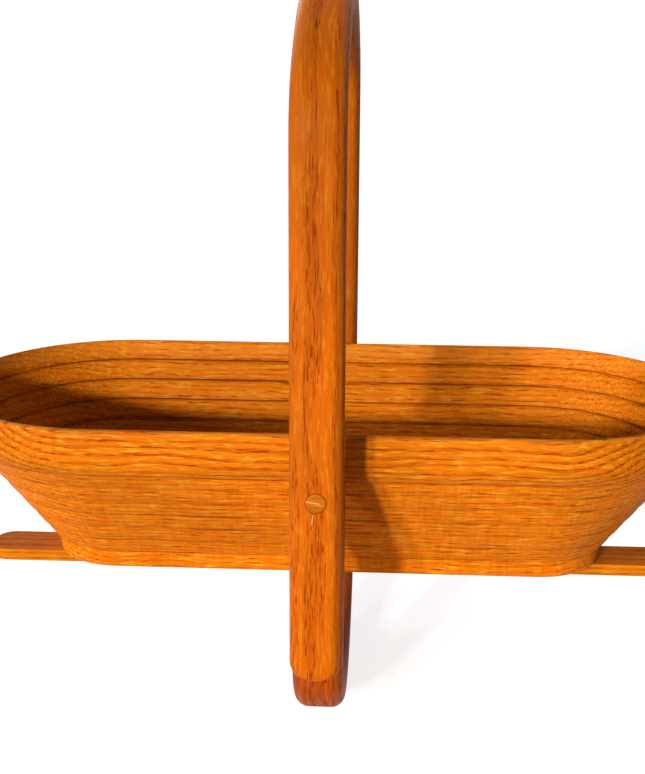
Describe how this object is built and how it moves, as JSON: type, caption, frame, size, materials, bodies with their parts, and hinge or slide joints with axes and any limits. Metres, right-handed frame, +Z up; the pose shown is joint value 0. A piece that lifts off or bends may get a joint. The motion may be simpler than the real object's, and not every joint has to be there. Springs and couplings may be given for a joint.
{
  "type": "collapsible wooden basket",
  "caption": "Long oval bowl of nested tapered wooden rings that drops open from one flat board, hung in a U-shaped stand under a tall swinging hoop handle.",
  "frame": {"origin": "on the table, under the middle of the stand's flat foot", "axes": "+X along the bowl's length, +Y along the pivot screws, from the front arm to the back one, +Z up"},
  "size_m": [0.33, 0.1938, 0.312],
  "materials": {
    "bowl_oak": "oiled satin, grain along X",
    "arm_oak": "oiled satin, grain along Z",
    "bar_oak": "oiled satin, grain along X",
    "plug_oak": "oiled satin",
    "screw_steel": "plain zinc"
  },
  "bodies": {
    "rim": {"rim_ring": "bowl_oak", "pivot_screw_front": "screw_steel", "pivot_screw_back": "screw_steel"},
    "hoop": {"handle": "arm_oak", "plug_front": "plug_oak", "plug_back": "plug_oak"},
    "leg": {"stand": "arm_oak"},
    "floor": {"base_plate": "bowl_oak", "lift_bar": "bar_oak", "bar_screws": "screw_steel"},
    "ring_2_body": {"ring_2": "bowl_oak"},
    "ring_3_body": {"ring_3": "bowl_oak"},
    "ring_4_body": {"ring_4": "bowl_oak"},
    "ring_5_body": {"ring_5": "bowl_oak"},
    "ring_6_body": {"ring_6": "bowl_oak"},
    "ring_7_body": {"ring_7": "bowl_oak"}
  },
  "joints": [
    {"name": "handle_pivot", "type": "hinge", "parent": "rim", "child": "hoop", "pos_m": [0, 0, 0.1225], "axis": [0, 1, 0], "range_deg": [-90, 90]},
    {"name": "base_slide", "type": "slide", "parent": "rim", "child": "floor", "axis": [0, 0, 1], "range_m": [0, 0.0574]},
    {"name": "stand_pivot", "type": "hinge", "parent": "rim", "child": "leg", "pos_m": [0, 0, 0.1225], "axis": [0, 1, 0], "range_deg": [0, 78]},
    {"name": "ring_2_slide", "type": "slide", "parent": "rim", "child": "ring_2_body", "axis": [0, 0, 1], "range_m": [0, 0.0082]},
    {"name": "ring_3_slide", "type": "slide", "parent": "rim", "child": "ring_3_body", "axis": [0, 0, 1], "range_m": [0, 0.0164]},
    {"name": "ring_4_slide", "type": "slide", "parent": "rim", "child": "ring_4_body", "axis": [0, 0, 1], "range_m": [0, 0.0246]},
    {"name": "ring_5_slide", "type": "slide", "parent": "rim", "child": "ring_5_body", "axis": [0, 0, 1], "range_m": [0, 0.0328]},
    {"name": "ring_6_slide", "type": "slide", "parent": "rim", "child": "ring_6_body", "axis": [0, 0, 1], "range_m": [0, 0.041]},
    {"name": "ring_7_slide", "type": "slide", "parent": "rim", "child": "ring_7_body", "axis": [0, 0, 1], "range_m": [0, 0.0492]}
  ],
  "couplings": [
    {"joint": "stand_pivot", "follows": "base_slide", "rad_per_m": 23.7},
    {"joint": "ring_2_slide", "follows": "base_slide", "ratio": 0.14286},
    {"joint": "ring_3_slide", "follows": "base_slide", "ratio": 0.28571},
    {"joint": "ring_4_slide", "follows": "base_slide", "ratio": 0.42857},
    {"joint": "ring_5_slide", "follows": "base_slide", "ratio": 0.57143},
    {"joint": "ring_6_slide", "follows": "base_slide", "ratio": 0.71429},
    {"joint": "ring_7_slide", "follows": "base_slide", "ratio": 0.85714}
  ]
}
